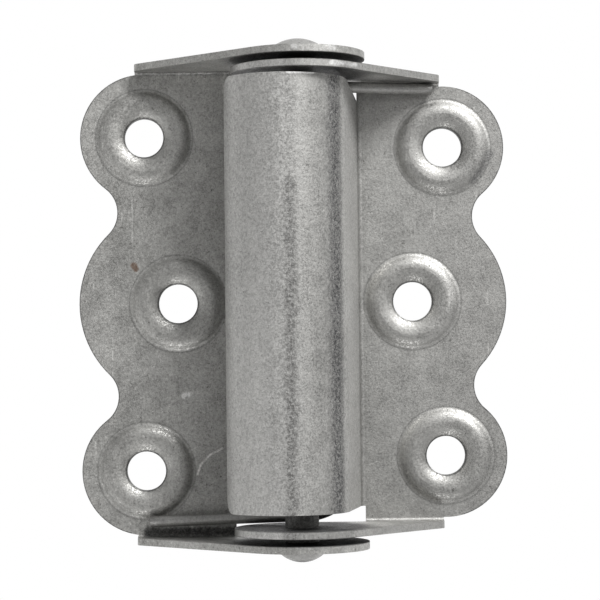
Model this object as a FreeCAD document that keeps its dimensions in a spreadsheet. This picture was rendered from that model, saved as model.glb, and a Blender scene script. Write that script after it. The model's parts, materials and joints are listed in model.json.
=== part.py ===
# Full-surface spring hinge: two stamped leaves, a riveted pin and a torsion spring.
# Every piece is drawn with the pin axis on Z, X to the right and the plates behind the pin at +Y.
# Placements then move the origin to the middle of the barrel leaf's screw line, on its back face.
import FreeCAD, Part
import Sketcher
import math
import os

V = FreeCAD.Vector
doc = FreeCAD.newDocument("spring_hinge")

# Driving sizes in millimetres, angles in degrees
SIZES = {
    "sheet_thick": 1.0,        # both leaves
    "leaf_height": 69.85,      # outer leaf over its ears
    "ear_gap": 1.0,            # between an outer and an inner ear
    "axis_offset": 10.0,       # pin axis to the plates' front faces
    "bend_radius": 0.5,        # inside of the ear bends
    "ear_toe": 0.5,            # straight outer end of an ear
    "toe_radius": 1.6,         # its rounded front corner
    "hole_radius": 2.83,       # screw holes
    "boss_radius": 7.1,        # foot of a screw boss
    "crest_radius": 4.95,      # highest ring of a boss
    "foot_bow": 0.8,           # hollow bend at the foot of a boss
    "boss_rise": 0.85,         # crest above the plate
    "rim_rise": 0.1,           # hole's rim above the plate
    "notch_radius": 4.4,       # hollows between the lobes
    "outer_end_x": 22.5,       # outer leaf: end holes from the pin axis
    "outer_end_z": 24.3,       # outer leaf: end holes from the middle
    "outer_mid_x": 17.7,       # outer leaf: middle hole
    "outer_end_lobe": 9.35,
    "outer_mid_lobe": 14.4,
    "outer_inner_edge": 9.5,   # outer leaf: plate edge beside the barrel
    "outer_ear_end": 23.8,     # outer leaf: far end of the ear bends
    "inner_end_x": 21.1,       # barrel leaf, as above
    "inner_end_z": 22.5,
    "inner_mid_x": 16.5,
    "inner_end_lobe": 8.95,
    "inner_mid_lobe": 13.7,
    "inner_ear_end": 20.7,
    "barrel_radius": 8.9,      # outside of the roll
    "barrel_shift": 2.04,      # roll's centre beside the pin axis
    "barrel_lean": 10.0,       # lean of the wall that rises from the plate
    "barrel_sweep": 150.0,     # turn of the roll from that wall to its free edge
    "lip_corner": 2.0,         # rounded corners of the free edge
    "root_radius": 0.7,        # hollow where the wall leaves the plate
    "barrel_top": 31.2,
    "barrel_bottom": 29.7,
    "relief_drop": 2.2,        # slope of the barrel's top edge, for the spring's leg
    "relief_front": 0.5,       # start of that slope, in front of the pin axis
    "pin_radius": 2.38,
    "pin_clearance": 0.05,
    "head_clearance": 0.05,
    "top_head_radius": 4.6,
    "top_head_rise": 2.1,
    "foot_head_radius": 3.7,
    "foot_head_rise": 1.85,
    "wire_diameter": 1.6,
    "coil_clearance": 0.35,    # coil to the barrel's wall
    "leg_clearance": 0.12,     # leg to the plate it pushes on
    "foot_play": 0.45,         # coil's lower end above the lower ear
    "top_play": 0.22,          # upper leg below the upper ear
    "leg_bend": 10.0,          # bend where a leg leaves the coil
    "leg_fall": 0.93,          # slope of the lower leg, down to its tip
    "outer_leg": 21.9,         # reach of the lower leg
    "inner_leg": 19.5,         # reach of the upper leg
}
HALF_TURNS = 14                # even, so that both legs leave at the back of the coil

sheet = doc.addObject("Spreadsheet::Sheet", "Sizes")
for row, (alias, value) in enumerate(SIZES.items(), start=1):
    sheet.set("A%d" % row, alias)
    sheet.set("B%d" % row, str(value))
    sheet.setAlias("B%d" % row, alias)
doc.recompute()


def size(alias):
    return float(sheet.get(alias))


def plane(body, role):
    return next(f for f in body.Origin.OriginFeatures if f.Role == role)


# A sketch whose arcs and lines are held by constraints that read the sheet
class Drawing:
    def __init__(self, body, name, role, offset):
        self.sketch = body.newObject("Sketcher::SketchObject", name)
        self.sketch.AttachmentSupport = [(plane(body, role), "")]
        self.sketch.MapMode = "FlatFace"
        for axis, formula in zip("xyz", offset):
            if formula != "0":
                self.sketch.setExpression("AttachmentOffset.Base." + axis, formula)

    def line(self, start, end):
        return self.sketch.addGeometry(Part.LineSegment(V(*start, 0), V(*end, 0)), False)

    def arc(self, centre, radius, begin, finish):
        circle = Part.Circle(V(*centre, 0), V(0, 0, 1), radius)
        return self.sketch.addGeometry(
            Part.ArcOfCircle(circle, math.radians(begin), math.radians(finish)), False)

    def circle(self, centre, radius):
        return self.sketch.addGeometry(Part.Circle(V(*centre, 0), V(0, 0, 1), radius), False)

    def hold(self, kind, *items):
        return self.sketch.addConstraint(Sketcher.Constraint(kind, *items))

    def chain(self, joints):
        for kind, first, first_end, second, second_end in joints:
            self.hold(kind, first, first_end, second, second_end)

    def bind(self, index, formula):
        self.sketch.setExpression("Constraints[%d]" % index, formula)

    # Distance of a point from the sketch's own axes, always written as a positive size
    def across(self, geometry, point, formula, kind="DistanceX"):
        place = self.sketch.getPoint(geometry, point)
        value = place.x if kind == "DistanceX" else place.y
        ends = (-1, 1, geometry, point) if value > 0 else (geometry, point, -1, 1)
        self.bind(self.hold(kind, *ends, abs(value)), formula)

    def up(self, geometry, point, formula):
        self.across(geometry, point, formula, "DistanceY")

    def radius(self, geometry, formula):
        held = self.sketch.Geometry[geometry].Radius
        self.bind(self.hold("Radius", geometry, held), formula)


def feature(body, kind, name, drawing, **formulas):
    made = body.newObject("PartDesign::" + kind, name)
    made.Profile = drawing.sketch
    for prop, formula in formulas.items():
        made.setExpression(prop, formula)
    return made


def mirrored(body, name, originals):
    made = body.newObject("PartDesign::Mirrored", name)
    made.Originals = originals
    made.MirrorPlane = (plane(body, "XY_Plane"), [""])
    body.Tip = made
    return made


# Values worked out from the sheet, and the same as formulas for the sketches
thick = size("sheet_thick")
offset = size("axis_offset")
lean = math.radians(size("barrel_lean"))
ear_radius = offset - size("bend_radius")
EAR_RADIUS = "(Sizes.axis_offset - Sizes.bend_radius)"
BACK = "(Sizes.axis_offset + Sizes.sheet_thick)"
OUTER_HALF = "(Sizes.leaf_height / 2)"
INNER_HALF = "(Sizes.leaf_height / 2 - Sizes.sheet_thick - Sizes.ear_gap)"
outer_half = size("leaf_height") / 2
inner_half = outer_half - thick - size("ear_gap")

LEAN = "(Sizes.barrel_lean * 1 deg)"
WALL = ("((Sizes.axis_offset - Sizes.root_radius * (1 - sin%s) + Sizes.barrel_radius * sin%s) / cos%s)"
        % (LEAN, LEAN, LEAN))
ROOT_X = ("((Sizes.barrel_radius + Sizes.root_radius) * cos%s - Sizes.barrel_shift + %s * sin%s)"
          % (LEAN, WALL, LEAN))
WALL_FOOT_X = "(%s - Sizes.root_radius)" % ROOT_X
barrel_radius = size("barrel_radius")
root_radius = size("root_radius")
shoulder = V(barrel_radius * math.cos(lean) - size("barrel_shift"), -barrel_radius * math.sin(lean), 0)
wall_foot_y = offset - root_radius * (1 - math.sin(lean))
wall_length = (wall_foot_y - shoulder.y) / math.cos(lean)
root_x = shoulder.x + wall_length * math.sin(lean) + root_radius * math.cos(lean)


# The flat of a leaf with the two bends that turn into its ears, as one channel section
def channel(body, half, half_formula, start_formula, end_formula):
    bend = size("bend_radius")
    outside = bend + thick
    reach = half - outside
    turn_y = offset - bend
    draw = Drawing(body, "channel_section", "YZ_Plane", ("0", "0", start_formula))
    back = draw.line((offset + thick, -reach), (offset + thick, reach))
    top_out = draw.arc((turn_y, reach), outside, 0, 90)
    top_end = draw.line((turn_y, half), (turn_y, half - thick))
    top_in = draw.arc((turn_y, reach), bend, 0, 90)
    front = draw.line((offset, reach), (offset, -reach))
    foot_in = draw.arc((turn_y, -reach), bend, 270, 360)
    foot_end = draw.line((turn_y, thick - half), (turn_y, -half))
    foot_out = draw.arc((turn_y, -reach), outside, 270, 360)
    draw.chain([
        ("Tangent", back, 2, top_out, 1),
        ("Coincident", top_out, 2, top_end, 1),
        ("Coincident", top_end, 2, top_in, 2),
        ("Tangent", top_in, 1, front, 1),
        ("Tangent", front, 2, foot_in, 2),
        ("Coincident", foot_in, 1, foot_end, 1),
        ("Coincident", foot_end, 2, foot_out, 1),
        ("Tangent", foot_out, 2, back, 1),
        ("Coincident", top_in, 3, top_out, 3),
        ("Coincident", foot_in, 3, foot_out, 3),
    ])
    for upright in (back, top_end, foot_end):
        draw.hold("Vertical", upright)
    draw.hold("Vertical", top_out, 2, top_out, 3)
    draw.hold("Vertical", foot_out, 1, foot_out, 3)
    draw.across(back, 1, BACK)
    draw.radius(top_in, "Sizes.bend_radius")
    draw.radius(top_out, "Sizes.bend_radius + Sizes.sheet_thick")
    draw.radius(foot_in, "Sizes.bend_radius")
    draw.up(top_out, 2, half_formula)
    draw.up(foot_out, 1, half_formula)
    return feature(body, "Pad", "channel", draw, Length="%s - %s" % (end_formula, start_formula))


# An ear: round about the pin, with a straight front edge that runs out to the plate
def ear(body, end, end_formula, half_formula):
    corner = size("toe_radius")
    toe_y = ear_radius - size("ear_toe")
    knee = (end - corner, toe_y)
    touch = math.atan2(knee[1], knee[0]) - math.acos((ear_radius - corner) / math.hypot(*knee))
    out = (math.cos(touch), math.sin(touch))
    draw = Drawing(body, "ear_outline", "XY_Plane", ("0", "0", half_formula + " - Sizes.sheet_thick"))
    nose = draw.arc((0, 0), ear_radius, 90, math.degrees(touch) + 360)
    front = draw.line((ear_radius * out[0], ear_radius * out[1]),
                      (knee[0] + corner * out[0], knee[1] + corner * out[1]))
    bend = draw.arc(knee, corner, math.degrees(touch), 0)
    toe = draw.line((end, toe_y), (end, ear_radius))
    back = draw.line((end, ear_radius), (0, ear_radius))
    draw.chain([
        ("Tangent", nose, 2, front, 1),
        ("Tangent", front, 2, bend, 1),
        ("Tangent", bend, 2, toe, 1),
        ("Coincident", toe, 2, back, 1),
        ("Tangent", back, 2, nose, 1),
        ("Coincident", nose, 3, -1, 1),
    ])
    draw.hold("Vertical", toe)
    draw.hold("Horizontal", back)
    draw.radius(nose, EAR_RADIUS)
    draw.radius(bend, "Sizes.toe_radius")
    draw.across(toe, 1, end_formula)
    draw.up(toe, 1, EAR_RADIUS + " - Sizes.ear_toe")
    top = feature(body, "Pad", "ear", draw, Length="Sizes.sheet_thick")
    return mirrored(body, "ears", [top])


# The scalloped outer edge: an end lobe round each end hole and a wider one round the middle hole
def lobes(body, kind):
    end_x, end_z, mid_x = (size(kind + part) for part in ("_end_x", "_end_z", "_mid_x"))
    end_r, mid_r = size(kind + "_end_lobe"), size(kind + "_mid_lobe")
    notch_r = size("notch_radius")
    near, far = mid_r + notch_r, end_r + notch_r
    span = math.hypot(end_x - mid_x, end_z)
    along = (near ** 2 - far ** 2 + span ** 2) / (2 * span)
    aside = math.sqrt(near ** 2 - along ** 2)
    step = ((end_x - mid_x) / span, end_z / span)
    notch = (mid_x + along * step[0] + aside * step[1], along * step[1] - aside * step[0])
    to_mid = math.degrees(math.atan2(-notch[1], mid_x - notch[0])) % 360
    to_end = math.degrees(math.atan2(end_z - notch[1], end_x - notch[0])) % 360
    draw = Drawing(body, "lobe_outline", "XZ_Plane", ("0", "0", "-" + BACK))
    low = draw.arc((end_x, -end_z), end_r, 180, 540 - to_end)
    low_notch = draw.arc((notch[0], -notch[1]), notch_r, 360 - to_mid, 360 - to_end)
    middle = draw.arc((mid_x, 0), mid_r, 180 - to_mid, to_mid - 180)
    high_notch = draw.arc(notch, notch_r, to_end, to_mid)
    high = draw.arc((end_x, end_z), end_r, to_end - 180, 180)
    inner = draw.line((end_x - end_r, end_z), (end_x - end_r, -end_z))
    draw.chain([
        ("Tangent", low, 2, low_notch, 2),
        ("Tangent", low_notch, 1, middle, 1),
        ("Tangent", middle, 2, high_notch, 2),
        ("Tangent", high_notch, 1, high, 1),
        ("Tangent", high, 2, inner, 1),
        ("Tangent", inner, 2, low, 1),
    ])
    for lobe in (low, high):
        draw.across(lobe, 3, "Sizes.%s_end_x" % kind)
        draw.up(lobe, 3, "Sizes.%s_end_z" % kind)
    draw.radius(low, "Sizes.%s_end_lobe" % kind)
    draw.hold("PointOnObject", middle, 3, -1)
    draw.across(middle, 3, "Sizes.%s_mid_x" % kind)
    draw.radius(middle, "Sizes.%s_mid_lobe" % kind)
    draw.radius(low_notch, "Sizes.notch_radius")
    draw.radius(high_notch, "Sizes.notch_radius")
    return feature(body, "Pad", "lobes", draw, Length="Sizes.sheet_thick")


# A pressed screw boss: the flat disc is cut away, then a dished ring of the same sheet is turned in
def boss(body, name, x, z, x_formula, z_formula):
    foot, crest, hole = size("boss_radius"), size("crest_radius"), size("hole_radius")
    rise, rim = size("boss_rise"), size("rim_rise")
    hollow = size("foot_bow")
    bow = ((foot - crest) ** 2 + rise ** 2) / (2 * rise) - hollow
    slope = math.degrees(math.asin((foot - crest) / (hollow + bow)))
    drop = rise - rim
    dish = ((crest - hole) ** 2 + drop ** 2) / (2 * drop)
    dip = math.degrees(math.asin((crest - hole) / dish))

    disc = Drawing(body, name + "_disc", "XZ_Plane", (x_formula, z_formula, "-Sizes.axis_offset"))
    disc.radius(disc.circle((0, 0), foot), "Sizes.boss_radius")
    disc.hold("Coincident", 0, 3, -1, 1)
    cut = feature(body, "Pocket", name + "_cut", disc, Length="Sizes.sheet_thick")

    draw = Drawing(body, name + "_section", "XY_Plane", (x_formula, "0", z_formula))
    rows = []
    for back in (0, thick):
        level = offset + back
        rows.append((
            draw.arc((foot, level - hollow), hollow, 90, 90 + slope),
            draw.arc((crest, level - rise + bow), bow, 270, 270 + slope),
            draw.arc((crest, level - rise + dish), dish, 270 - dip, 270),
        ))
    (base, top, bowl), (base_back, top_back, bowl_back) = rows
    wall = draw.line((hole, offset - rim), (hole, offset - rim + thick))
    seam = draw.line((foot, offset + thick), (foot, offset))
    draw.chain([
        ("Tangent", base, 2, top, 2),
        ("Tangent", top, 1, bowl, 2),
        ("Coincident", bowl, 1, wall, 1),
        ("Coincident", wall, 2, bowl_back, 1),
        ("Tangent", bowl_back, 2, top_back, 1),
        ("Tangent", top_back, 2, base_back, 2),
        ("Coincident", base_back, 1, seam, 1),
        ("Coincident", seam, 2, base, 1),
    ])
    draw.hold("Vertical", wall)
    draw.hold("Vertical", seam)
    for curve in (base, base_back, top, top_back):
        draw.hold("Vertical", curve, 3, curve, 1)
    for first, second in ((top, top_back), (base, base_back), (bowl, bowl_back)):
        draw.hold("Equal", first, second)
    draw.radius(base, "Sizes.foot_bow")
    draw.across(seam, 1, "Sizes.boss_radius")
    draw.across(top, 1, "Sizes.crest_radius")
    draw.across(wall, 1, "Sizes.hole_radius")
    draw.up(base, 1, "Sizes.axis_offset")
    draw.up(base_back, 1, BACK)
    draw.up(top, 1, "Sizes.axis_offset - Sizes.boss_rise")
    draw.up(top_back, 1, BACK + " - Sizes.boss_rise")
    draw.up(wall, 1, "Sizes.axis_offset - Sizes.rim_rise")
    ring = feature(body, "Revolution", name + "_ring", draw)
    ring.ReferenceAxis = (draw.sketch, ["V_Axis"])
    ring.Angle = 360
    return cut, ring


def pin_holes(body, half_formula):
    draw = Drawing(body, "pin_circle", "XY_Plane", ("0", "0", half_formula))
    draw.radius(draw.circle((0, 0), size("pin_radius") + size("pin_clearance")),
                "Sizes.pin_radius + Sizes.pin_clearance")
    draw.hold("Coincident", 0, 3, -1, 1)
    return feature(body, "Pocket", "pin_holes", draw, Length="2 * " + half_formula)


# The tongue that rises from the plate's inner edge and is rolled over the pin
def barrel(body):
    open_end = 360 - size("barrel_lean")
    wrap = open_end - size("barrel_sweep")
    turn = 180 - size("barrel_lean")
    centre = (-size("barrel_shift"), 0)
    root = (root_x, offset - root_radius)
    inside = barrel_radius - thick
    draw = Drawing(body, "barrel_section", "XY_Plane", ("0", "0", "-Sizes.barrel_bottom"))

    def polar(middle, radius, degrees):
        angle = math.radians(degrees)
        return (middle[0] + radius * math.cos(angle), middle[1] + radius * math.sin(angle))

    seam = draw.line((root_x, offset + thick), (root_x, offset))
    hollow = draw.arc(root, root_radius, 90, turn)
    wall = draw.line(polar(root, root_radius, turn), polar(centre, barrel_radius, open_end))
    roll = draw.arc(centre, barrel_radius, wrap, open_end)
    lip = draw.line(polar(centre, inside, wrap), polar(centre, barrel_radius, wrap))
    roll_in = draw.arc(centre, inside, wrap, open_end)
    wall_in = draw.line(polar(centre, inside, open_end), polar(root, root_radius + thick, turn))
    heel = draw.arc(root, root_radius + thick, 90, turn)
    draw.chain([
        ("Coincident", seam, 2, hollow, 1),
        ("Tangent", hollow, 2, wall, 1),
        ("Tangent", wall, 2, roll, 2),
        ("Coincident", roll, 1, lip, 2),
        ("Coincident", lip, 1, roll_in, 1),
        ("Tangent", roll_in, 2, wall_in, 1),
        ("Tangent", wall_in, 2, heel, 2),
        ("Coincident", heel, 1, seam, 1),
        ("Coincident", roll, 3, roll_in, 3),
        ("Coincident", hollow, 3, heel, 3),
    ])
    draw.hold("Vertical", seam)
    draw.hold("Vertical", hollow, 3, hollow, 1)
    draw.hold("PointOnObject", roll, 3, -1)
    draw.hold("PointOnObject", roll, 3, lip)
    draw.across(roll, 3, "Sizes.barrel_shift")
    draw.radius(roll, "Sizes.barrel_radius")
    draw.radius(roll_in, "Sizes.barrel_radius - Sizes.sheet_thick")
    draw.radius(hollow, "Sizes.root_radius")
    draw.up(hollow, 1, "Sizes.axis_offset")
    draw.bind(draw.hold("Angle", lip, math.radians(wrap)), "360 deg - (Sizes.barrel_lean + Sizes.barrel_sweep) * 1 deg")
    draw.across(seam, 1, ROOT_X)
    feature(body, "Pad", "barrel", draw, Length="Sizes.barrel_top + Sizes.barrel_bottom")
    return polar(centre, barrel_radius - thick / 2, wrap)


# The barrel's top edge slopes down towards the plate, where the spring's upper leg comes out
def relief(body):
    top, drop = size("barrel_top"), size("relief_drop")
    front = -size("relief_front")
    back = offset + thick
    draw = Drawing(body, "relief_outline", "YZ_Plane", ("0", "0", WALL_FOOT_X))
    slope = draw.line((front, top), (back, top - drop))
    side = draw.line((back, top - drop), (back, top))
    edge = draw.line((back, top), (front, top))
    draw.chain([
        ("Coincident", slope, 2, side, 1),
        ("Coincident", side, 2, edge, 1),
        ("Coincident", edge, 2, slope, 1),
    ])
    draw.hold("Vertical", side)
    draw.hold("Horizontal", edge)
    draw.across(slope, 1, "Sizes.relief_front")
    draw.across(side, 1, BACK)
    draw.up(side, 1, "Sizes.barrel_top - Sizes.relief_drop")
    draw.up(edge, 1, "Sizes.barrel_top")
    return feature(body, "Pocket", "relief", draw, Length=WALL_FOOT_X)


# The two corners of the barrel's free edge are rounded off
def lip_corners(body, base, lip):
    doc.recompute()
    ends = [V(*lip, size("barrel_top")), V(*lip, -size("barrel_bottom"))]
    names = []
    for number, edge in enumerate(base.Shape.Edges, start=1):
        if min(edge.CenterOfMass.distanceToPoint(end) for end in ends) < thick / 100:
            names.append("Edge%d" % number)
    rounded = body.newObject("PartDesign::Fillet", "lip_corners")
    rounded.Base = (base, names)
    rounded.setExpression("Radius", "Sizes.lip_corner")


def leaf(name, kind, half, half_formula, start_formula):
    body = doc.addObject("PartDesign::Body", name)
    end_formula = "Sizes.%s_ear_end" % kind
    channel(body, half, half_formula, start_formula, end_formula)
    ear(body, size(kind + "_ear_end"), end_formula, half_formula)
    lobes(body, kind)
    if kind == "inner":
        lip = barrel(body)
        lip_corners(body, relief(body), lip)
    pin_holes(body, half_formula)
    boss(body, "mid_boss", size(kind + "_mid_x"), 0, "Sizes.%s_mid_x" % kind, "0")
    end = boss(body, "end_boss", size(kind + "_end_x"), size(kind + "_end_z"),
               "Sizes.%s_end_x" % kind, "Sizes.%s_end_z" % kind)
    mirrored(body, "end_bosses", list(end))
    return body


# The pin is a rivet: a domed head above the upper ear, a peened foot below the lower one
def pin():
    body = doc.addObject("PartDesign::Body", "hinge_pin")
    shank, seat = size("pin_radius"), outer_half + size("head_clearance")
    SEAT = OUTER_HALF + " + Sizes.head_clearance"
    draw = Drawing(body, "pin_section", "XZ_Plane", ("0", "0", "0"))
    core = draw.line((0, -seat - size("foot_head_rise")), (0, seat + size("top_head_rise")))
    heads = []
    for sign, kind in ((1, "top"), (-1, "foot")):
        radius, rise = size(kind + "_head_radius"), size(kind + "_head_rise")
        curve = (radius ** 2 + rise ** 2) / (2 * rise)
        middle = (0, sign * (seat + rise - curve))
        half_angle = math.degrees(math.asin(radius / curve))
        begin, finish = (90 - half_angle, 90) if sign > 0 else (270, 270 + half_angle)
        dome = draw.arc(middle, curve, begin, finish)
        under = draw.line((shank, sign * seat), (radius, sign * seat))
        heads.append((dome, under))
        draw.across(under, 2, "Sizes.%s_head_radius" % kind)
        draw.up(under, 2, SEAT)
        draw.hold("Horizontal", under)
        draw.hold("PointOnObject", dome, 3, -2)
    (top_dome, top_under), (foot_dome, foot_under) = heads
    side = draw.line((shank, -seat), (shank, seat))
    draw.chain([
        ("Coincident", core, 2, top_dome, 2),
        ("Coincident", top_dome, 1, top_under, 2),
        ("Coincident", top_under, 1, side, 2),
        ("Coincident", side, 1, foot_under, 1),
        ("Coincident", foot_under, 2, foot_dome, 2),
        ("Coincident", foot_dome, 1, core, 1),
    ])
    draw.hold("Vertical", side)
    draw.hold("PointOnObject", core, 1, -2)
    draw.hold("PointOnObject", core, 2, -2)
    draw.across(side, 1, "Sizes.pin_radius")
    draw.up(core, 2, SEAT + " + Sizes.top_head_rise")
    draw.up(core, 1, SEAT + " + Sizes.foot_head_rise")
    turned = feature(body, "Revolution", "turned", draw)
    turned.ReferenceAxis = (draw.sketch, ["V_Axis"])
    turned.Angle = 360
    return body


# One wire: a leg, tilted half turns from the back of the coil to its front and back again, a leg
def spring():
    wire = size("wire_diameter")
    wall_gap = barrel_radius - size("barrel_shift") * math.cos(lean) - thick
    widest = wall_gap - size("coil_clearance") - wire / 2
    ear_face = inner_half - thick
    low = -ear_face + size("foot_play") + wire / 2
    high = ear_face - size("top_play") - wire / 2
    leg_y = offset - size("leg_clearance") - wire / 2
    rise = (high - low) / HALF_TURNS
    coil = math.sqrt(widest ** 2 - (rise / 2) ** 2)

    # Points of a leg from the coil outwards: it bends back to the plate, then runs straight to its tip
    def leg(side, level, reach, fall):
        start = V(0, coil, level)
        along, back = V(side, 0, 0), V(0, leg_y - coil, -fall)
        spread = back.Length
        back.normalize()
        bend = size("leg_bend")
        turn = math.asin(bend / math.hypot(reach, bend - spread)) - math.atan2(bend - spread, reach)
        points = [start]
        for part in (turn / 2, turn):
            points.append(start + along * (bend * math.sin(part)) + back * (bend * (1 - math.cos(part))))
        points.append(start + along * reach + back * spread)
        return points

    start, middle, straight, tip = leg(-1, low, size("outer_leg"), size("leg_fall"))
    edges = [Part.LineSegment(tip, straight).toShape(), Part.Arc(straight, middle, start).toShape()]
    heading = (straight - tip).normalize()
    section = Part.Face(Part.Wire([Part.Circle(tip, heading, wire / 2).toShape()]))
    for turn in range(HALF_TURNS):
        side = 1 if turn % 2 == 0 else -1
        level = low + turn * rise
        edges.append(Part.Arc(V(0, side * coil, level), V(side * widest, 0, level + rise / 2),
                              V(0, -side * coil, level + rise)).toShape())
    start, middle, straight, tip = leg(1, high, size("inner_leg"), 0)
    edges.append(Part.Arc(start, middle, straight).toShape())
    edges.append(Part.LineSegment(straight, tip).toShape())
    path = Part.Wire(edges)
    made = doc.addObject("Part::Feature", "torsion_spring")
    made.Shape = path.makePipe(section)
    expected = math.pi * wire ** 2 / 4 * path.Length
    if abs(made.Shape.Volume - expected) > 0.01 * expected:
        raise RuntimeError("the spring's wire is not whole")
    return made


outer_leaf = leaf("outer_leaf", "outer", outer_half, OUTER_HALF, "Sizes.outer_inner_edge")
barrel_leaf = leaf("barrel_leaf", "inner", inner_half, INNER_HALF, ROOT_X)
hinge_pin = pin()
torsion_spring = spring()
subparts = [outer_leaf, barrel_leaf, hinge_pin, torsion_spring]

# The outer leaf is drawn on the right and turned about Y to the left of the pin
outer_leaf.Placement = FreeCAD.Placement(V(0, 0, 0), FreeCAD.Rotation(V(0, 1, 0), 180))
for piece in subparts:
    piece.Label = piece.Name
    piece.setExpression("Placement.Base.x", "-Sizes.inner_end_x")
    piece.setExpression("Placement.Base.y", "-" + BACK)
doc.recompute()

for item in doc.Objects:
    if "Invalid" in item.State or "Error" in item.State:
        raise RuntimeError("%s failed: %s" % (item.Name, item.State))
for piece in subparts:
    shape = piece.Shape
    if shape.isNull() or not shape.isValid() or len(shape.Solids) != 1:
        raise RuntimeError("%s is not one valid solid" % piece.Label)

os.makedirs("parts", exist_ok=True)
for piece in subparts:
    box = piece.Shape.BoundBox
    print(piece.Label, round(piece.Shape.Volume, 2), [round(v, 3) for v in
          (box.XMin, box.XMax, box.YMin, box.YMax, box.ZMin, box.ZMax)])
    piece.Shape.exportStep("parts/%s.step" % piece.Label)
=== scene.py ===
import json
import math
import bpy
import numpy as np
from mathutils import Matrix, Vector


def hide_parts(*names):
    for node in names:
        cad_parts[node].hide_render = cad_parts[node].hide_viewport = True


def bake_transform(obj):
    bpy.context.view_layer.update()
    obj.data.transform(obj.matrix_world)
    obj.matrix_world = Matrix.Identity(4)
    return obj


# Looks for a zinc-coated spring hinge: two stamped leaves, a riveted pin and a torsion spring.
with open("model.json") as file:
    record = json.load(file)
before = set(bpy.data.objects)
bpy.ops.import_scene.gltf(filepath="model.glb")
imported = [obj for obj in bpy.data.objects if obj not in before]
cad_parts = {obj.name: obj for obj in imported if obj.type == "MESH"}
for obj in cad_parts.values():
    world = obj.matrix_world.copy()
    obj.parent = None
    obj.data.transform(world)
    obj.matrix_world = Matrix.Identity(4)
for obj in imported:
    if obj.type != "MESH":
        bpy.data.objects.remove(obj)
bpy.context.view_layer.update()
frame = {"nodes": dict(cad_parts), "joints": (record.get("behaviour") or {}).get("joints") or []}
nodes = frame["nodes"]
pinAxis = Vector(frame["joints"][0]["pos_m"])  # a point on the pin's axis
perMetre = 1000  # sizes and places below are in millimetres unless they say otherwise
print("frame loaded:", sorted(nodes))

# camera, worked out from the six screw holes, the barrel and the ears
viewFrom = {
    "place": (-1.309, -290.81, -9.266),  # from the middle of the pin
    "focal": 2061.4,  # pixels, on a picture of the size below
    "picture": 600,
    "yaw": 0.0046,  # radians
    "pitch": 0.032,
    "roll": -0.0106,
    "sensor": 36,
    "clip": (0.01, 20),  # metres
}


def addObject(name, data):
    obj = bpy.data.objects.new(name, data)
    bpy.context.scene.collection.objects.link(obj)
    return obj


def aimCamera(view):
    cy, sy = math.cos(view["yaw"]), math.sin(view["yaw"])
    cp, sp = math.cos(view["pitch"]), math.sin(view["pitch"])
    cr, sr = math.cos(view["roll"]), math.sin(view["roll"])
    level = Vector((cy, -sy, 0))
    ahead = Vector((sy * cp, cy * cp, sp))
    upright = Vector((-sy * sp, -cy * sp, cp))
    right = level * cr + upright * sr
    up = upright * cr - level * sr
    data = bpy.data.cameras.new("photoCamera")
    data.sensor_width = view["sensor"]
    data.lens = view["sensor"] * view["focal"] / view["picture"]
    data.clip_start, data.clip_end = view["clip"]
    camera = addObject("photoCamera", data)
    turn = Matrix((right, up, -ahead)).transposed().to_4x4()
    camera.matrix_world = Matrix.Translation(pinAxis + Vector(view["place"]) / perMetre) @ turn
    bpy.context.scene.camera = camera
    return camera


camera = aimCamera(viewFrom)
print("camera set, lens", round(camera.data.lens, 1))


# small helpers for shader nodes
def addNode(tree, kind, **settings):
    node = tree.nodes.new(kind)
    for key, value in settings.items():
        setattr(node, key, value)
    return node


# a socket is given by its name, or as i and its number where names repeat
def feed(tree, node, **values):
    for key, value in values.items():
        numbered = key[0] == "i" and key[1:].isdigit()
        socket = node.inputs[int(key[1:]) if numbered else key]
        if isinstance(value, bpy.types.NodeSocket):
            tree.links.new(value, socket)
        else:
            socket.default_value = value
    return node


def maths(tree, operation, a, b=0.0, clamp=False):
    node = addNode(tree, "ShaderNodeMath", operation=operation, use_clamp=clamp)
    return feed(tree, node, i0=a, i1=b).outputs[0]


def times(tree, a, b):
    return maths(tree, "MULTIPLY", a, b)


def addUp(tree, *values):
    total = values[0]
    for value in values[1:]:
        total = maths(tree, "ADD", total, value)
    return total


def shareOut(tree, a, b, part):  # this part of a, and the rest of b
    return addUp(tree, times(tree, a, part), times(tree, b, 1 - part))


def sway(tree, value, amount):  # how far a noise lies from its middle, times an amount
    return times(tree, maths(tree, "SUBTRACT", value, 0.5), amount)


def vectors(tree, operation, a, b=(0, 0, 0), scale=1.0):
    node = addNode(tree, "ShaderNodeVectorMath", operation=operation)
    feed(tree, node, i0=a, i1=b, i3=scale)
    return node.outputs[1 if operation in ("DOT_PRODUCT", "DISTANCE", "LENGTH") else 0]


def remap(tree, value, low, high, outLow, outHigh):
    node = addNode(tree, "ShaderNodeMapRange", interpolation_type="SMOOTHSTEP")
    return feed(tree, node, i0=value, i1=low, i2=high, i3=outLow, i4=outHigh).outputs[0]


def above(tree, value, levels):  # 0 below the first level, 1 above the second
    return remap(tree, value, levels[0], levels[1], 0.0, 1.0)


def noise(tree, vector, scale, detail=2.0, rough=0.5):
    node = addNode(tree, "ShaderNodeTexNoise")
    return feed(tree, node, Vector=vector, Scale=scale, Detail=detail, Roughness=rough).outputs["Fac"]


def stretched(tree, vector, scale, turn=(0, 0, 0), shift=(0, 0, 0)):
    node = addNode(tree, "ShaderNodeMapping")
    return feed(tree, node, Vector=vector, Location=shift, Rotation=turn, Scale=scale).outputs[0]


def mixColour(tree, factor, a, b):
    node = addNode(tree, "ShaderNodeMix", data_type="RGBA")
    return feed(tree, node, i0=factor, i6=a, i7=b).outputs[2]


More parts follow.
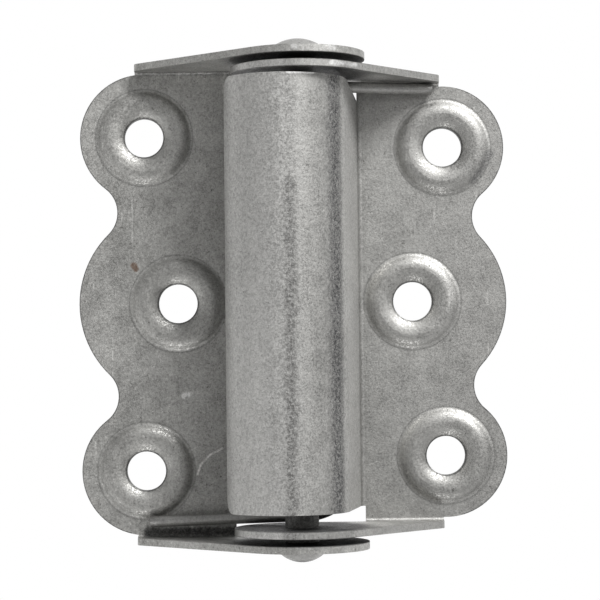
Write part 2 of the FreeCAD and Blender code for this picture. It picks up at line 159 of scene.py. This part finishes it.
def newGroup(name, inputs, outputs):
    tree = bpy.data.node_groups.new(name, "ShaderNodeTree")
    for socketName, kind, value in inputs:
        socket = tree.interface.new_socket(socketName, in_out="INPUT", socket_type="NodeSocket" + kind)
        if value is not None:
            socket.default_value = value
    for socketName, kind in outputs:
        tree.interface.new_socket(socketName, in_out="OUTPUT", socket_type="NodeSocket" + kind)
    given = addNode(tree, "NodeGroupInput").outputs
    return tree, given, addNode(tree, "NodeGroupOutput")


def placeGroup(tree, group, **values):
    node = addNode(tree, "ShaderNodeGroup", node_tree=group)
    return feed(tree, node, **values).outputs


# zinc coat: a fine crystal mottle, rolling streaks along the sheet, scratches, dark pits, and bright glints
# that are painted highlights
zincGrain = {
    "fine": (5200.0, 2.0, 0.7),  # scale, detail and roughness of a noise: grains of about 0.2 mm
    "speckle": (2300.0, 3.0, 0.65),  # grains of about 0.4 mm
    "clouds": (420.0, 3.0, 0.55),  # patches of 2 to 3 mm
    "fields": (95.0, 2.0, 0.5),  # slow drift over the leaf
    "fineShare": 0.5,  # of the fine grains, beside the speckle
    "cloudShare": 0.55,  # of the clouds, beside the fields
    "drift": 0.5,  # of the mottle
    "rolling": (2400, 2400, 60),  # long grain up the sheet
    "rollingNoise": (1.0, 2.0, 0.6),
    "scratchRuns": ((0.5, 26, 3.1), (-0.9, 22, 7.7), (1.9, 30, 12.4)),  # turn, stretch and shift
    "scratchWidth": 1500,
    "scratchNoise": (1.0, 1.0, 0.5),
    "scratchLevels": (0.705, 0.745),  # noise levels at which a mark starts and is full
    "gate": (160.0, 40.0),  # scale, and its step with the shift, of the noise that lets scratches through
    "gateLevels": (0.56, 0.66),
    "pits": (1500.0, 2.0, 0.7),
    "pitLevels": (0.655, 0.73),
    "glints": (2900.0, 1.0, 0.5),
    "glintLevels": (0.735, 0.78),
    "facets": (4000.0, 2.0, 0.6),  # crystals that shine more than the rest
    "facetLevels": (0.46, 0.6),
    "facetShift": (0.03, 0.07, 0.05),
    "scratchTone": 0.55,
    "cloudRough": 0.2,
    "pitRough": 0.4,
    "fineHeight": 0.5,
    "cloudHeight": 0.6,
    "scratchDepth": 0.3,
}


def zincCoatGroup(coat):
    tree, given, out = newGroup(
        "zincCoat",
        [("Vector", "Vector", None), ("Mottle", "Float", 0.2), ("Streaks", "Float", 0.1),
         ("Scratches", "Float", 0.3), ("Pits", "Float", 0.3), ("Glints", "Float", 0.3),
         ("Rough", "Float", 0.4), ("Polish", "Float", 0.2)],
        [("Tone", "Float"), ("Roughness", "Float"), ("Height", "Float"), ("Grain", "Float")])
    place = given["Vector"]
    fine = noise(tree, place, *coat["fine"])
    speckle = noise(tree, place, *coat["speckle"])
    clouds = noise(tree, place, *coat["clouds"])
    fields = noise(tree, place, *coat["fields"])
    rolled = noise(tree, stretched(tree, place, coat["rolling"]), *coat["rollingNoise"])
    grain = shareOut(tree, fine, speckle, coat["fineShare"])
    patchy = shareOut(tree, clouds, fields, coat["cloudShare"])
    mottle = sway(tree, grain, given["Mottle"])
    drift = sway(tree, patchy, times(tree, given["Mottle"], coat["drift"]))
    streaks = sway(tree, rolled, given["Streaks"])
    scratched = 0.0
    for turn, stretch, shift in coat["scratchRuns"]:
        run = (coat["scratchWidth"], coat["scratchWidth"], stretch)
        bent = stretched(tree, place, run, (0, turn, 0), (shift, 0, shift * 2))
        thin = above(tree, noise(tree, bent, *coat["scratchNoise"]), coat["scratchLevels"])
        gateScale = coat["gate"][0] + coat["gate"][1] * shift
        gate = above(tree, noise(tree, place, gateScale, 1.0), coat["gateLevels"])
        scratched = maths(tree, "MAXIMUM", scratched, times(tree, thin, gate))
    scratches = times(tree, scratched, given["Scratches"])
    pits = times(tree, above(tree, noise(tree, place, *coat["pits"]), coat["pitLevels"]), given["Pits"])
    # glints: bright specks painted into the colour, as painted highlights
    glintMask = above(tree, noise(tree, place, *coat["glints"]), coat["glintLevels"])
    glints = times(tree, glintMask, given["Glints"])
    shifted = stretched(tree, place, (1, 1, 1), shift=coat["facetShift"])
    facets = above(tree, noise(tree, shifted, *coat["facets"]), coat["facetLevels"])
    tone = addUp(tree, mottle, drift, streaks, times(tree, scratches, coat["scratchTone"]), glints)
    tone = maths(tree, "SUBTRACT", tone, pits)
    rough = addUp(tree, given["Rough"], sway(tree, clouds, coat["cloudRough"]),
                  times(tree, pits, coat["pitRough"]))
    rough = maths(tree, "SUBTRACT", rough, times(tree, facets, given["Polish"]))
    height = addUp(tree, times(tree, fine, coat["fineHeight"]), speckle,
                   times(tree, clouds, coat["cloudHeight"]))
    height = maths(tree, "SUBTRACT", height, times(tree, scratched, coat["scratchDepth"]))
    feed(tree, out, Tone=tone, Roughness=rough, Height=height, Grain=grain)
    return tree


# a soft spot or line on the sheet, as a mask: 1 in its core, fading to 0 just past the radius
spotEdge = {
    "ragged": 1800.0,  # scale of the noise that frays it
    "end": 1.15,  # of the radius, where the mask is 0
    "shortest": 1e-9,  # keeps a spot, whose line has no length, from dividing by 0
}


def spotMaskGroup(spot):
    tree, given, out = newGroup(
        "spotMask",
        [("Vector", "Vector", None), ("Start", "Vector", None), ("End", "Vector", None),
         ("Radius", "Float", 0.001), ("Ragged", "Float", 0.5), ("Core", "Float", 0.45)],
        [("Mask", "Float")])
    along = vectors(tree, "SUBTRACT", given["End"], given["Start"])
    fromStart = vectors(tree, "SUBTRACT", given["Vector"], given["Start"])
    hit = vectors(tree, "DOT_PRODUCT", fromStart, along)
    square = maths(tree, "MAXIMUM", vectors(tree, "DOT_PRODUCT", along, along), spot["shortest"])
    nearest = vectors(tree, "SCALE", along, scale=maths(tree, "DIVIDE", hit, square, True))
    size = maths(tree, "DIVIDE", vectors(tree, "DISTANCE", fromStart, nearest), given["Radius"])
    frayed = addUp(tree, size, sway(tree, noise(tree, given["Vector"], spot["ragged"]), given["Ragged"]))
    feed(tree, out, Mask=remap(tree, frayed, given["Core"], spot["end"], 1.0, 0.0))
    return tree


# painted shade along a circle, darkening the edge of the sheet, as a mask: 1 at the circle, fading to 0
# over the width
# side 1 is the rim round a hole or a notch, side -1 the edge of a lobe
# facing and reach keep it to a cone about the way the lobe faces, reach being the cosine of the cone
paintedEdgeShade = {
    "ragged": 2200.0,  # scale of the noise that frays it
    "fray": 0.8,  # of the width
    "rimCore": 0.25,
    "lineCore": 0.1,
}


def paintedEdgeShadeGroup(edge):
    tree, given, out = newGroup(
        "paintedEdgeShadeMask",
        [("Vector", "Vector", None), ("Centre", "Vector", None), ("Radius", "Float", 0.003),
         ("Width", "Float", 0.0003), ("Side", "Float", 1.0), ("Facing", "Vector", None),
         ("Reach", "Float", -1.0)],
        [("Mask", "Float"), ("Line", "Float")])
    fromCentre = vectors(tree, "SUBTRACT", given["Vector"], given["Centre"])
    flat = vectors(tree, "MULTIPLY", fromCentre, (1, 0, 1))  # in the plane of the plate
    away = vectors(tree, "LENGTH", flat)
    past = times(tree, maths(tree, "SUBTRACT", away, given["Radius"]), given["Side"])
    past = maths(tree, "DIVIDE", past, given["Width"])
    past = addUp(tree, past, sway(tree, noise(tree, given["Vector"], edge["ragged"]), edge["fray"]))
    rim = remap(tree, past, edge["rimCore"], 1.0, 1.0, 0.0)
    bothSides = maths(tree, "ABSOLUTE", past)
    line = remap(tree, bothSides, edge["lineCore"], 1.0, 1.0, 0.0)
    toward = vectors(tree, "DOT_PRODUCT", flat, given["Facing"])
    gate = maths(tree, "GREATER_THAN", toward, times(tree, away, given["Reach"]))
    feed(tree, out, Mask=times(tree, rim, gate), Line=line)
    return tree


zincCoat = zincCoatGroup(zincGrain)
paintedEdgeShadeMask = paintedEdgeShadeGroup(paintedEdgeShade)
spotMask = spotMaskGroup(spotEdge)

# what the painted edge shade of both plates shares; each leaf adds its own holes and lobes
plateEdge = {
    "hole": 2.83,
    "holeRim": 0.32,  # width of the painted shade round the hole
    "bossFoot": 7.12,
    # a thin line of painted shade round each boss's foot
    "footLine": 0.2,
    "footAmount": 0.32,
    "notch": 4.4,
    "rim": 0.2,
    "amount": 0.75,
    "midReach": 0.73,
    "endFacing": (0.974, 0.225),  # outward and away from the middle
    "endReach": 0.454,
    # colour of the painted edge shade
    "edge": (0.05, 0.05, 0.048, 1),
}


# circles along which shade is painted on a plate: screw holes, bosses' feet, lobes, and the notches that
# touch two lobes
def plateRims(plate):
    out = plate["outward"]
    mid = np.array(plate["midHole"])
    rims = []

    def add(centre, radius, width, side=1.0, facing=(0, 0), reach=-1.0,
            output="Mask", amount=plate["amount"]):
        rim = {"Centre": (centre[0] / perMetre, 0, centre[1] / perMetre), "Radius": radius / perMetre,
               "Width": width / perMetre, "Side": side, "Facing": (facing[0], 0, facing[1]), "Reach": reach}
        rims.append((rim, output, amount))

    def addHole(centre):
        add(centre, plate["hole"], plate["holeRim"])
        add(centre, plate["bossFoot"], plate["footLine"], output="Line", amount=plate["footAmount"])

    addHole(mid)
    add(mid, plate["midLobe"], plate["rim"], -1.0, (out, 0), plate["midReach"])
    for up in (1, -1):
        end = np.array([plate["endHole"][0], plate["endHole"][1] * up])
        facing = (plate["endFacing"][0] * out, plate["endFacing"][1] * up)
        addHole(end)
        add(end, plate["endLobe"], plate["rim"], -1.0, facing, plate["endReach"])
        # the notch's centre lies its radius outside both lobes
        span = np.linalg.norm(end - mid)
        along = (end - mid) / span
        across = np.array([abs(along[1]), -abs(along[0])]) * (out, up)
        toMid, toEnd = plate["midLobe"] + plate["notch"], plate["endLobe"] + plate["notch"]
        step = (toMid ** 2 - toEnd ** 2 + span ** 2) / (2 * span)
        notch = mid + along * step + across * math.sqrt(toMid ** 2 - step ** 2)
        add(notch, plate["notch"], plate["rim"])
    return rims


grainLevels = (0.36, 0.64)  # of a dark and of a pale grain
bumpDepth = 0.00006  # metres


# how far a mark covers each point: a spot or line, broken up by the grain
# grainy above 0 keeps a dark mark to the dark grains, below 0 a pale one to the pale grains
def markAmount(tree, place, grain, mark):
    flat = mark.get("flat", 1)  # squeezes a round spot into a thin disc on a level face
    start, end = ((x / perMetre, y / perMetre, z * flat / perMetre) for x, y, z in mark["line"])
    spread = stretched(tree, place, (1, 1, flat)) if flat != 1 else place
    spot = placeGroup(tree, spotMask, Vector=spread, Start=start, End=end,
                      Radius=mark["radius"] / perMetre, Ragged=mark["ragged"], Core=mark["core"])
    onDark, onPale = 1.0 + min(mark["grainy"], 0.0), 1.0 - max(mark["grainy"], 0.0)
    grains = remap(tree, grain, *grainLevels, onDark, onPale)
    return times(tree, times(tree, spot["Mask"], mark["amount"]), grains)


# one steel: dark and light zinc tones mixed by the coat's tone, then the marks this piece carries (stains,
# wear, painted shade and painted highlights) and the painted shade along its plate's edges
def zincSteel(name, look):
    material = bpy.data.materials.new(name)
    material.use_nodes = True
    tree = material.node_tree
    shader = tree.nodes["Principled BSDF"]
    place = addNode(tree, "ShaderNodeTexCoord").outputs["Object"]
    coat = placeGroup(tree, zincCoat, Vector=place, Mottle=look["mottle"], Streaks=look["streaks"],
                      Scratches=look["scratches"], Pits=look["pits"], Glints=look["glints"],
                      Rough=look["rough"], Polish=look["polish"])
    tone = maths(tree, "ADD", coat["Tone"], 0.5, True)
    colour = mixColour(tree, tone, look["dark"], look["light"])
    rough = coat["Roughness"]
    for mark in look.get("marks", ()):
        amount = markAmount(tree, place, coat["Grain"], mark)
        colour = mixColour(tree, amount, colour, mark["colour"])
        rough = maths(tree, "ADD", rough, times(tree, amount, mark["roughen"]), True)
    # painted shade along the plate's edges
    for rim, output, amount in plateRims(look["plate"]) if "plate" in look else ():
        mask = placeGroup(tree, paintedEdgeShadeMask, Vector=place, **rim)[output]
        colour = mixColour(tree, times(tree, mask, amount), colour, look["plate"]["edge"])
    bump = addNode(tree, "ShaderNodeBump")
    feed(tree, bump, Height=coat["Height"], Strength=look["bump"], Distance=bumpDepth)
    feed(tree, shader, Roughness=rough, Normal=bump.outputs[0], Metallic=look["metal"])
    feed(tree, shader, **{"Base Color": colour})
    return material


# painted shade on an ear's level face where it lies against another piece round the pin
def paintedGapShade(level):
    middle = (pinAxis.x * perMetre, pinAxis.y * perMetre, level)
    return {"line": (middle, middle), "flat": 60,
            "radius": 10.5, "core": 0.75, "ragged": 0.1, "grainy": 0.1,
            "colour": (0.02, 0.02, 0.021, 1), "amount": 0.9, "roughen": 0.1}


# a thin pale scratch on the face of a plate, from point to point
def paleScratch(*points):
    face = -1.0
    return [{"line": ((x, face, z), (nextX, face, nextZ)),
             "radius": 0.2, "core": 0.2, "ragged": 1.5, "grainy": -0.7,
             "colour": (0.85, 0.84, 0.82, 1), "amount": 0.9, "roughen": 0.0}
            for (x, z), (nextX, nextZ) in zip(points, points[1:])]


# a line for marks that run the whole height of the barrel, and past its ends
def upBarrel(x, y, bottom=-40.0, top=40.0, lean=0.0):
    return (x, y, bottom), (x + lean, y, top)


outerSteel = {
    # both zinc tones painted paler than the barrel leaf's, as painted light on the outer leaf
    "dark": (0.152, 0.15, 0.142, 1), "light": (0.645, 0.64, 0.618, 1), "metal": 0.9,
    "mottle": 1.75, "streaks": 0.08, "scratches": 0.6, "pits": 0.3, "glints": 0.5,
    "rough": 0.62, "polish": 0.2, "bump": 0.5,
    "plate": {**plateEdge, "outward": -1, "endHole": (-43.6, 24.3), "midHole": (-38.8, 0.0),
              "endLobe": 9.35, "midLobe": 14.4},
    "marks": [
        {"line": ((-45.2, -1.0, 5.6), (-45.0, -1.0, 5.2)),  # rust fleck by the middle boss
         "radius": 0.55, "core": 0.45, "ragged": 0.9, "grainy": 0.2,
         "colour": (0.16, 0.085, 0.045, 1), "amount": 0.8, "roughen": 0.3},
        *paleScratch((-36.2, -24.9), (-35.8, -23.6),  # beside the lower boss
                     (-34.4, -22.1), (-32.6, -21.1)),
        {"line": ((-38.1, -1.0, -13.3), (-37.4, -1.0, -13.2)),  # bright fleck above it
         "radius": 0.5, "core": 0.3, "ragged": 1.6, "grainy": -0.5,
         "colour": (0.85, 0.845, 0.83, 1), "amount": 1.0, "roughen": -0.1},
        {"line": ((-44.1, -1.15, 33.78), (-29.0, -1.15, 33.78)),  # painted shade in the upper fold
         "radius": 0.5, "core": 0.4, "ragged": 0.6, "grainy": 0.3,
         "colour": (0.06, 0.06, 0.058, 1), "amount": 0.5, "roughen": 0.2},
        {"line": ((-43.4, -1.1, -33.2), (-29.0, -1.1, -33.2)),  # more painted shade in the lower one
         "radius": 0.95, "core": 0.3, "ragged": 0.7, "grainy": 0.2,
         "colour": (0.03, 0.03, 0.03, 1), "amount": 0.85, "roughen": 0.2},
        {"line": ((-21.6, -20.2, 34.6), (-16.2, -18.9, 34.6)),  # painted highlight on the upper ear beside the pin
         "radius": 0.55, "core": 0.3, "ragged": 0.9, "grainy": -0.3,
         "colour": (0.95, 0.945, 0.93, 1), "amount": 0.9, "roughen": -0.15},
        # painted shade in the gaps between the ears
        *(paintedGapShade(level) for level in (33.925, -33.925)),
    ],
}
barrelSteel = {
    "dark": (0.132, 0.13, 0.124, 1), "light": (0.58, 0.575, 0.556, 1), "metal": 0.9,
    "mottle": 1.2, "streaks": 0.1, "scratches": 0.4, "pits": 0.3, "glints": 0.35,
    "rough": 0.62, "polish": 0.22, "bump": 0.5,
    "plate": {**plateEdge, "outward": 1, "endHole": (0.0, 22.5), "midHole": (-4.6, 0.0),
              "endLobe": 8.95, "midLobe": 13.7},
    "marks": [
        {"line": upBarrel(-26.5, -18.6),  # painted light: the crown a little paler than the plates
         "radius": 6.4, "core": 0.5, "ragged": 0.3, "grainy": -0.7,
         "colour": (0.66, 0.655, 0.64, 1), "amount": 0.55, "roughen": 0.0},
        {"line": upBarrel(-15.9, -16.35),  # dark band down the barrel's shoulder
         "radius": 2.3, "core": 0.1, "ragged": 0.9, "grainy": 0.75,
         "colour": (0.04, 0.04, 0.043, 1), "amount": 0.95, "roughen": 0.05},
        {"line": upBarrel(-22.5, -19.85, top=16.0, lean=0.2),  # fainter one along its crown
         "radius": 1.3, "core": 0.1, "ragged": 1.3, "grainy": 0.7,
         "colour": (0.09, 0.088, 0.085, 1), "amount": 0.78, "roughen": 0.05},
        {"line": ((-22.3, -19.85, 16.0), (-22.3, -19.85, 40.0)),  # which dies away at the top
         "radius": 1.3, "core": 0.1, "ragged": 1.3, "grainy": 0.7,
         "colour": (0.09, 0.088, 0.085, 1), "amount": 0.3, "roughen": 0.05},
        {"line": upBarrel(-13.6, -13.4),  # painted reflection: the flank beside the shoulder made paler
         "radius": 2.3, "core": 0.6, "ragged": 0.4, "grainy": -0.95,
         "colour": (0.64, 0.635, 0.62, 1), "amount": 0.8, "roughen": 0.0},
        {"line": upBarrel(-13.0, -7.0),  # and painted reflection down the wall behind it
         "radius": 5.2, "core": 0.8, "ragged": 0.2, "grainy": -0.9,
         "colour": (0.62, 0.615, 0.60, 1), "amount": 0.95, "roughen": 0.0},
        {"line": upBarrel(-12.1, -1.3),  # painted shade along the foot of the wall
         "radius": 0.8, "core": 0.3, "ragged": 0.6, "grainy": 0.3,
         "colour": (0.12, 0.118, 0.112, 1), "amount": 0.2, "roughen": 0.1},
        {"line": ((7.0, -1.2, 21.4), (4.5, -1.2, 17.6)),  # smudge on the upper boss
         "radius": 1.0, "core": 0.1, "ragged": 1.3, "grainy": 0.7,
         "colour": (0.09, 0.09, 0.095, 1), "amount": 0.6, "roughen": 0.05},
        {"line": ((-12.0, -1.15, 31.75), (-1.6, -1.15, 31.75)),  # painted shade in the upper fold
         "radius": 0.5, "core": 0.4, "ragged": 0.6, "grainy": 0.2,
         "colour": (0.04, 0.04, 0.04, 1), "amount": 0.8, "roughen": 0.2},
        {"line": ((-16.4, -19.2, 32.5), (-13.2, -16.0, 32.5)),  # painted highlight on the upper ear's edge
         "radius": 0.5, "core": 0.3, "ragged": 0.9, "grainy": -0.3,
         "colour": (0.95, 0.945, 0.93, 1), "amount": 0.9, "roughen": -0.15},
        {"line": ((-22.5, -19.9, 31.2), (-15.5, -18.2, 31.2)),  # painted highlight along the barrel's top end
         "radius": 0.3, "core": 0.5, "ragged": 0.8, "grainy": -0.2,
         "colour": (0.97, 0.965, 0.95, 1), "amount": 0.95, "roughen": -0.15},
        # painted shade in the gaps between the ears
        *(paintedGapShade(level) for level in (32.925, 31.925, -31.925, -32.925)),
    ],
}
pinSteel = {
    "dark": (0.13, 0.128, 0.122, 1), "light": (0.58, 0.575, 0.56, 1), "metal": 0.9,
    "mottle": 1.2, "streaks": 0.1, "scratches": 0.3, "pits": 0.3, "glints": 0.3,
    "rough": 0.54, "polish": 0.16, "bump": 0.4,
    "marks": [
        {"line": ((-21.1, -11.0, -34.5), (-21.1, -11.0, 34.5)),  # shank darker between the heads
         "radius": 2.5, "core": 0.97, "ragged": 0.05, "grainy": 0.3,
         "colour": (0.05, 0.05, 0.048, 1), "amount": 0.75, "roughen": 0.1},
    ],
}
springSteel = {
    "dark": (0.11, 0.108, 0.104, 1), "light": (0.52, 0.515, 0.50, 1), "metal": 0.9,
    "mottle": 1.2, "streaks": 0.2, "scratches": 0.2, "pits": 0.3, "glints": 0.2,
    "rough": 0.52, "polish": 0.15, "bump": 0.4,
}


def dress(node, material):
    obj = nodes[node]
    obj.data.materials.clear()
    obj.data.materials.append(material)


dress("outer_leaf", zincSteel("outerLeafZinc", outerSteel))
dress("barrel_leaf", zincSteel("barrelLeafZinc", barrelSteel))
dress("hinge_pin", zincSteel("pinZinc", pinSteel))
print("leaves and pin dressed")

# torsion spring, as the CAD wire, in a mesh of its own; places are from the pin's axis
springWire = {
    "wire": 1.6,
    "widest": 4.741,  # half width of the coil's middle line across the leaves
    "low": -30.675,  # height of the coil's lower and upper ends
    "high": 30.905,
    "halfTurns": 14,
    "legPlane": 9.08,  # middle line of a leg behind the pin
    "legBend": 10.0,
    "outerReach": 21.9,
    "innerReach": 19.5,
    "fall": 0.93,  # of the lower leg, down to its tip
    "windingInset": 1.4,  # the winding starts this far inside the legs
    "wornEnd": 0.12,  # of the radius, rounded off at a cut end
    "around": 20,  # points round the wire
    "bendPoints": 9,
    "legPoints": 13,
    "turnPoints": 24,  # in each half turn
}


# middle line of the wire: straight leg, bend, tilted half circles, bend, straight leg
# a half circle is (widest sin a, coil cos a) and climbs one rise as (1 - cos a) / 2 goes from 0 to 1
def springPath(spring):
    halfTurns = spring["halfTurns"]
    rise = (spring["high"] - spring["low"]) / halfTurns
    coil = math.sqrt(spring["widest"] ** 2 - (rise / 2) ** 2)

    # a leg leaves the coil along x and bends back until it points at its tip
    def leg(side, level, reach, fall):
        back = np.array([0, spring["legPlane"] - coil, -fall])
        spread = np.linalg.norm(back)
        back = back / spread
        bend = spring["legBend"]
        turn = math.asin(bend / math.hypot(reach, bend - spread)) - math.atan2(bend - spread, reach)
        part = np.linspace(0, turn, spring["bendPoints"])[:, None]
        start = np.array([0, coil, level])
        along = np.array([side, 0, 0])
        bent = start + along * bend * np.sin(part) + back * bend * (1 - np.cos(part))
        tip = start + along * reach + back * spread
        run = bent[-1] + (tip - bent[-1]) * np.linspace(0, 1, spring["legPoints"])[1:, None]
        return np.vstack([bent, run])

    angle = np.linspace(0, math.pi * halfTurns, spring["turnPoints"] * halfTurns + 1)
    turn = np.minimum(np.floor(angle / math.pi), halfTurns - 1)
    local = angle - turn * math.pi
    height = spring["low"] + rise * (turn + (1 - np.cos(local)) / 2)
    winding = np.stack([spring["widest"] * np.sin(angle), coil * np.cos(angle), height], axis=1)
    lower = leg(-1, spring["low"], spring["outerReach"], spring["fall"])[::-1]
    upper = leg(1, spring["high"], spring["innerReach"], 0)
    return np.vstack([lower[:-1], winding, upper[1:]])


# a round wire along that line: at each point a ring, side cos t + over sin t, square to the line
def wireSurface(path, radius, around, worn):
    ahead = np.gradient(path, axis=0)
    ahead /= np.linalg.norm(ahead, axis=1)[:, None]
    side = np.cross(ahead, np.array([0.0, 0.0, 1.0]))
    side /= np.linalg.norm(side, axis=1)[:, None]
    over = np.cross(side, ahead)
    turn = np.linspace(0, 2 * math.pi, around, endpoint=False)
    ring = side[:, None, :] * np.cos(turn)[None, :, None] + over[:, None, :] * np.sin(turn)[None, :, None]
    inset = worn * radius  # cut ends with a small worn edge
    first = path[0] + ring[0] * (radius - inset)
    last = path[-1] + ring[-1] * (radius - inset)
    body = path[:, None, :] + ring * radius
    body[0] += ahead[0] * inset
    body[-1] -= ahead[-1] * inset
    points = np.vstack([first, body.reshape(-1, 3), last, path[:1], path[-1:]])
    rows = len(path) + 2
    index = np.arange(rows * around).reshape(rows, around)
    nextIndex = np.roll(index, -1, axis=1)
    quads = np.stack([index[:-1], index[1:], nextIndex[1:], nextIndex[:-1]], axis=-1).reshape(-1, 4)
    foot, head = rows * around, rows * around + 1
    caps = [(foot, int(a), int(b)) for a, b in zip(index[0], nextIndex[0])]
    caps += [(head, int(b), int(a)) for a, b in zip(index[-1], nextIndex[-1])]
    return points, [tuple(int(v) for v in q) for q in quads] + caps


def makeSpring(spring):
    points, faces = wireSurface(springPath(spring), spring["wire"] / 2, spring["around"], spring["wornEnd"])
    mesh = bpy.data.meshes.new("springWire")
    mesh.from_pydata((points / perMetre + np.array(pinAxis)).tolist(), [], faces)
    mesh.validate()
    mesh.polygons.foreach_set("use_smooth", [True] * len(mesh.polygons))
    mesh.update()
    mesh.materials.append(zincSteel("springWireSteel", springSteel))
    piece = addObject("springWire", mesh)
    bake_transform(piece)
    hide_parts("torsion_spring")
    return piece


makeSpring(springWire)
print("spring wound")

# white sheet the hinge lies in front of
whiteSheet = {
    "behind": 0.0012,  # metres behind the plates
    "size": 3.0,  # metres
    "white": 0.93,
    "points": 3,  # along each side
}


# a flat grid of points at one depth; white to the camera and in reflections, plain paper to the lamps
def makeBackdrop(look):
    count = look["points"]
    grid = np.linspace(-look["size"] / 2, look["size"] / 2, count)
    gx, gz = np.meshgrid(grid, grid)
    points = np.stack([gx.ravel(), np.full(gx.size, look["behind"]), gz.ravel()], axis=1)
    corners = (row * count + column for row in range(count - 1) for column in range(count - 1))
    faces = [(c, c + 1, c + count + 1, c + count) for c in corners]
    mesh = bpy.data.meshes.new("whiteSheet")
    mesh.from_pydata(points.tolist(), [], faces)
    sheet = addObject("whiteSheet", mesh)
    material = bpy.data.materials.new("whiteSheet")
    material.use_nodes = True
    tree = material.node_tree
    tree.nodes.clear()
    paper = addNode(tree, "ShaderNodeBsdfDiffuse")
    feed(tree, paper, Color=(look["white"], look["white"], look["white"], 1))
    glow = addNode(tree, "ShaderNodeEmission")
    feed(tree, glow, Color=(1, 1, 1, 1), Strength=1.0)
    path = addNode(tree, "ShaderNodeLightPath").outputs
    seen = maths(tree, "MAXIMUM", path["Is Camera Ray"], path["Is Transmission Ray"])
    seen = maths(tree, "MAXIMUM", seen, path["Is Glossy Ray"])
    front = addNode(tree, "ShaderNodeMixShader")
    feed(tree, front, i0=seen, i1=paper.outputs[0], i2=glow.outputs[0])
    behind = addNode(tree, "ShaderNodeNewGeometry").outputs["Backfacing"]  # see-through from behind
    clear = addNode(tree, "ShaderNodeBsdfTransparent")
    mix = addNode(tree, "ShaderNodeMixShader")
    feed(tree, mix, i0=behind, i1=front.outputs[0], i2=clear.outputs[0])
    feed(tree, addNode(tree, "ShaderNodeOutputMaterial"), Surface=mix.outputs[0])
    mesh.materials.append(material)
    return sheet


makeBackdrop(whiteSheet)

# soft lamps, each given by its turn round the line of sight, 0 at the right and 90 above,
# and its angle off that line, both in degrees; size in metres, power in watts
lamps = {
    "key": {"turn": 58, "off": 59, "size": 0.36, "power": 11.0},
    "front": {"turn": 45, "off": 32, "size": 0.30, "power": 0.4},
    "lowLeft": {"turn": 208, "off": 60, "size": 0.70, "power": 1.3},
    "low": {"turn": 266, "off": 58, "size": 0.32, "power": 1.9},
    "lowRight": {"turn": 320, "off": 58, "size": 0.35, "power": 0.4},
}
lampDistance = 0.9  # metres from the pin


def addLamp(name, lamp):
    data = bpy.data.lights.new(name, "AREA")
    data.shape = "DISK"
    data.size = lamp["size"]
    data.energy = lamp["power"]
    turn, off = math.radians(lamp["turn"]), math.radians(lamp["off"])
    aside = math.sin(off)
    spot = pinAxis + lampDistance * Vector((aside * math.cos(turn), -math.cos(off), aside * math.sin(turn)))
    aim = (pinAxis - spot).to_track_quat("-Z", "Y").to_matrix().to_4x4()
    addObject(name, data).matrix_world = Matrix.Translation(spot) @ aim


for lampName, lamp in lamps.items():
    addLamp(lampName, lamp)

# plain room: even soft light
room = {"light": 0.37}


def makeRoom(look):
    world = bpy.data.worlds.new("studioRoom")
    world.use_nodes = True
    bpy.context.scene.world = world
    tree = world.node_tree
    feed(tree, tree.nodes["Background"], Color=(1, 1, 1, 1), Strength=look["light"])


makeRoom(room)
bpy.context.scene.view_settings.view_transform = "Standard"
print("backdrop, lamps and room ready")
